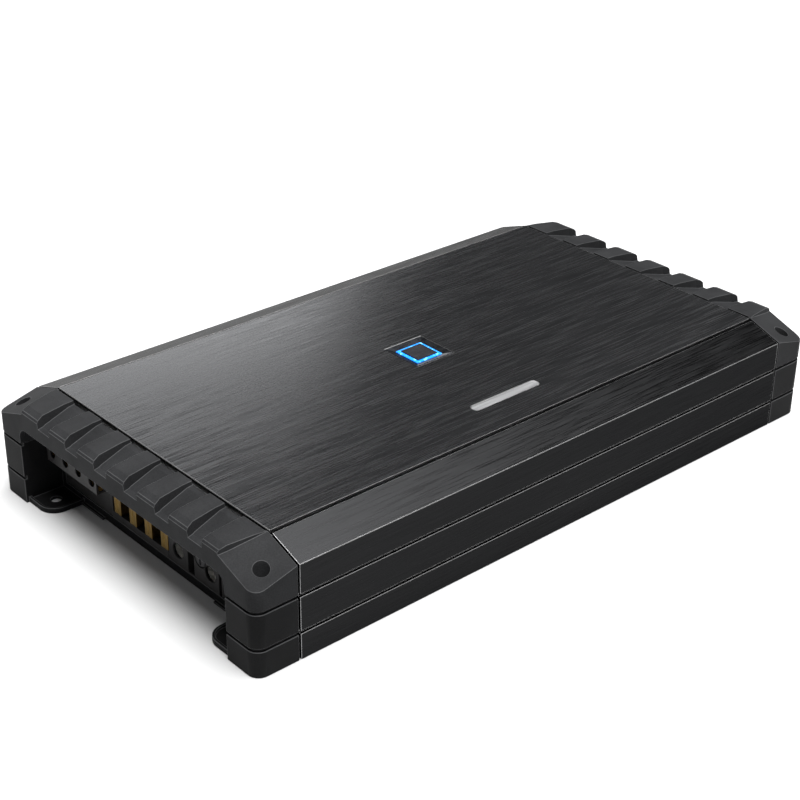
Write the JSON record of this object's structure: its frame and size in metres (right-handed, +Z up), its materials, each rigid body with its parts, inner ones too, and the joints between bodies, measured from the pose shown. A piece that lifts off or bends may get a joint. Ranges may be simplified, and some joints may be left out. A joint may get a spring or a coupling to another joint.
{
  "type": "car amplifier",
  "caption": "Low rectangular car audio amplifier with a brushed top plate, grooved side rails, ridged lift-off end covers, wire terminals and input controls.",
  "frame": {"origin": "centre of the base, on the plane that the amplifier stands on", "axes": "+X along the long way, from the power and speaker terminals to the signal inputs, +Y across the width, +Z up through the top plate"},
  "size_m": [0.372, 0.21, 0.0565],
  "materials": {
    "brushed_top": "brushed",
    "rail_metal": "satin",
    "cover_plastic": "fine texture",
    "frame_plastic": "fine texture",
    "terminal_plastic": "matte",
    "base_metal": "satin",
    "brass": "satin",
    "nickel": "satin",
    "black_steel": "satin",
    "steel": "satin",
    "deck_aluminium": "satin",
    "badge_black": "gloss",
    "bezel_metal": "satin",
    "badge_light": "lit",
    "name_metal": "satin",
    "circuit_board": "gloss",
    "component_black": "matte",
    "capacitor_sleeve": "satin",
    "copper": "lacquered",
    "ferrite": "matte",
    "white_plastic": "satin",
    "led_green": "clear"
  },
  "bodies": {
    "chassis": {"top_plate": "brushed_top", "badge_bezel": "bezel_metal", "light_guide": "badge_light", "badge_cap": "badge_black", "name_plate": "name_metal", "front_rail": "rail_metal", "rear_rail": "rail_metal", "heat_spreader": "deck_aluminium", "bottom_plate": "base_metal", "bottom_screws": "steel", "left_end_frame": "frame_plastic", "right_end_frame": "frame_plastic", "terminal_panel": "terminal_plastic", "speaker_block": "terminal_plastic", "speaker_clamps": "brass", "speaker_screws": "steel", "plug_socket": "terminal_plastic", "plug_contacts": "brass", "power_block": "terminal_plastic", "power_clamps": "nickel", "power_screws": "black_steel", "remote_screw": "black_steel", "input_panel": "terminal_plastic", "jack_block": "component_black", "jack_sleeves": "nickel", "jack_inserts": "white_plastic", "knob_bodies": "component_black", "switch_bodies": "steel", "status_leds": "led_green", "main_board": "circuit_board", "board_standoffs": "steel", "led_board": "circuit_board", "badge_leds": "white_plastic", "transformer_cores": "ferrite", "transformer_windings": "copper", "large_capacitors": "capacitor_sleeve", "small_capacitors": "capacitor_sleeve", "output_coils": "copper", "front_transistors": "component_black", "rear_transistors": "component_black", "front_clamp_bar": "deck_aluminium", "rear_clamp_bar": "deck_aluminium", "preamp_board": "circuit_board"},
    "left_end_cover": {"left_cover": "cover_plastic", "left_cover_bolts": "black_steel"},
    "right_end_cover": {"right_cover": "cover_plastic", "right_cover_bolts": "black_steel"},
    "front_gain": {"front_gain_knob": "component_black"},
    "rear_gain": {"rear_gain_knob": "component_black"},
    "front_crossover": {"front_crossover_knob": "component_black"},
    "rear_crossover": {"rear_crossover_knob": "component_black"},
    "input_mode": {"input_switch": "white_plastic"},
    "front_filter": {"front_filter_switch": "white_plastic"},
    "rear_filter": {"rear_filter_switch": "white_plastic"}
  },
  "joints": [
    {"name": "left_cover_lift", "type": "slide", "parent": "chassis", "child": "left_end_cover", "axis": [0, 0, 1], "range_m": [0, 0.045]},
    {"name": "right_cover_lift", "type": "slide", "parent": "chassis", "child": "right_end_cover", "axis": [0, 0, 1], "range_m": [0, 0.045]},
    {"name": "front_gain_turn", "type": "hinge", "parent": "chassis", "child": "front_gain", "pos_m": [0.1643, -0.008, 0.03], "axis": [1, 0, 0], "range_deg": [-140, 140]},
    {"name": "rear_gain_turn", "type": "hinge", "parent": "chassis", "child": "rear_gain", "pos_m": [0.1643, -0.023, 0.03], "axis": [1, 0, 0], "range_deg": [-140, 140]},
    {"name": "front_crossover_turn", "type": "hinge", "parent": "chassis", "child": "front_crossover", "pos_m": [0.1643, -0.038, 0.03], "axis": [1, 0, 0], "range_deg": [-140, 140]},
    {"name": "rear_crossover_turn", "type": "hinge", "parent": "chassis", "child": "rear_crossover", "pos_m": [0.1643, -0.053, 0.03], "axis": [1, 0, 0], "range_deg": [-140, 140]},
    {"name": "input_mode_slide", "type": "slide", "parent": "chassis", "child": "input_mode", "axis": [0, 1, 0], "range_m": [-0.002, 0.002]},
    {"name": "front_filter_slide", "type": "slide", "parent": "chassis", "child": "front_filter", "axis": [0, 1, 0], "range_m": [-0.002, 0.002]},
    {"name": "rear_filter_slide", "type": "slide", "parent": "chassis", "child": "rear_filter", "axis": [0, 1, 0], "range_m": [-0.002, 0.002]}
  ]
}
